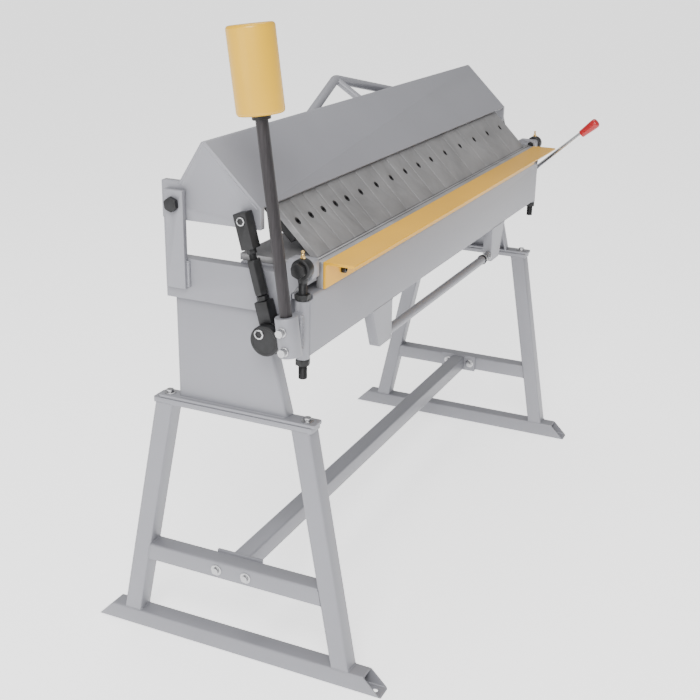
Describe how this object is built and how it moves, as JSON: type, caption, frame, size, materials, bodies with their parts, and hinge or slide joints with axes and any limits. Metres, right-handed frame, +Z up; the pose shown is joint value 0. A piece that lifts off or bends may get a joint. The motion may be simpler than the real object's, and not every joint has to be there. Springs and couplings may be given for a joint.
{
  "type": "sheet metal brake",
  "caption": "Floor-standing finger brake for sheet metal: segmented clamping fingers under a folded roof beam, hinged bending apron with weighted handle, and an eccentric clamp lever.",
  "frame": {"origin": "centre of the footprint, on the floor", "axes": "+X along the bed to the operator's right, +Y away from the operator, +Z up"},
  "size_m": [1.504, 0.66, 1.2381],
  "materials": {
    "grey_paint": "satin silver-grey paint",
    "ground_steel": "ground, lightly oiled",
    "black_oxide": "black oxide, satin",
    "dark_steel": "dark turned steel",
    "zinc_plate": "bright zinc plate",
    "chrome_plate": "polished",
    "yellow_paint": "glossy yellow paint",
    "red_plastic": "glossy",
    "bronze": "turned bronze"
  },
  "bodies": {
    "frame": {"left_stand": "grey_paint", "right_stand": "grey_paint", "stretcher": "grey_paint", "left_column": "grey_paint", "right_column": "grey_paint", "left_cheek": "grey_paint", "right_cheek": "grey_paint", "left_upright": "grey_paint", "right_upright": "grey_paint", "bed_plate": "ground_steel", "bed_beam": "grey_paint", "left_beam_pivot_bolt": "black_oxide", "right_beam_pivot_bolt": "black_oxide", "left_apron_pivot_bolt": "black_oxide", "right_apron_pivot_bolt": "black_oxide", "left_shaft_bush": "bronze", "right_shaft_bush": "bronze"},
    "upper_beam": {"beam_shell": "grey_paint", "beam_truss": "grey_paint", "clamp_rail": "black_oxide", "finger_01": "ground_steel", "finger_02": "ground_steel", "finger_03": "ground_steel", "finger_04": "ground_steel", "finger_05": "ground_steel", "finger_06": "ground_steel", "finger_07": "ground_steel", "finger_08": "ground_steel", "finger_09": "ground_steel", "finger_10": "ground_steel", "finger_11": "ground_steel", "finger_12": "ground_steel", "finger_13": "ground_steel", "finger_14": "ground_steel", "finger_15": "ground_steel", "finger_16": "ground_steel", "left_link_pin": "zinc_plate", "right_link_pin": "zinc_plate"},
    "left_link": {"left_link_clevis": "black_oxide", "left_turnbuckle": "black_oxide", "left_link_eye": "black_oxide"},
    "right_link": {"right_link_clevis": "black_oxide", "right_turnbuckle": "black_oxide", "right_link_eye": "black_oxide"},
    "clamp_shaft": {"clamp_shaft": "zinc_plate", "left_eccentric": "black_oxide", "right_eccentric": "black_oxide", "clamp_lever": "chrome_plate", "lever_grip": "red_plastic"},
    "apron": {"apron_panel": "grey_paint", "bending_bar": "ground_steel", "extension_angle": "yellow_paint", "left_eye_bolt": "black_oxide", "right_eye_bolt": "black_oxide", "apron_truss_rod": "zinc_plate", "handle_rod": "dark_steel", "counterweight": "yellow_paint", "handle_set_bolt_1": "zinc_plate", "handle_set_bolt_2": "zinc_plate"}
  },
  "joints": [
    {"name": "apron_hinge", "type": "hinge", "parent": "frame", "child": "apron", "pos_m": [0.02205, -0.16198, 0.833], "axis": [-1, 0, 0], "range_deg": [0, 90]},
    {"name": "beam_hinge", "type": "hinge", "parent": "frame", "child": "upper_beam", "pos_m": [0.02205, 0.09502, 0.916], "axis": [-1, 0, 0], "range_deg": [0, 3.66]},
    {"name": "clamp_shaft_turn", "type": "hinge", "parent": "frame", "child": "clamp_shaft", "pos_m": [0.02205, -0.09348, 0.7141], "axis": [-1, 0, 0], "range_deg": [0, 40]},
    {"name": "left_link_hinge", "type": "hinge", "parent": "upper_beam", "child": "left_link", "pos_m": [-0.65195, -0.05098, 0.905], "axis": [-1, 0, 0], "range_deg": [-3.45, 0]},
    {"name": "right_link_hinge", "type": "hinge", "parent": "upper_beam", "child": "right_link", "pos_m": [0.69605, -0.05098, 0.905], "axis": [-1, 0, 0], "range_deg": [-3.45, 0]}
  ],
  "couplings": [
    {"joint": "clamp_shaft_turn", "follows": "beam_hinge", "ratio": 10.92},
    {"joint": "left_link_hinge", "follows": "beam_hinge", "ratio": -0.931},
    {"joint": "right_link_hinge", "follows": "beam_hinge", "ratio": -0.931}
  ]
}
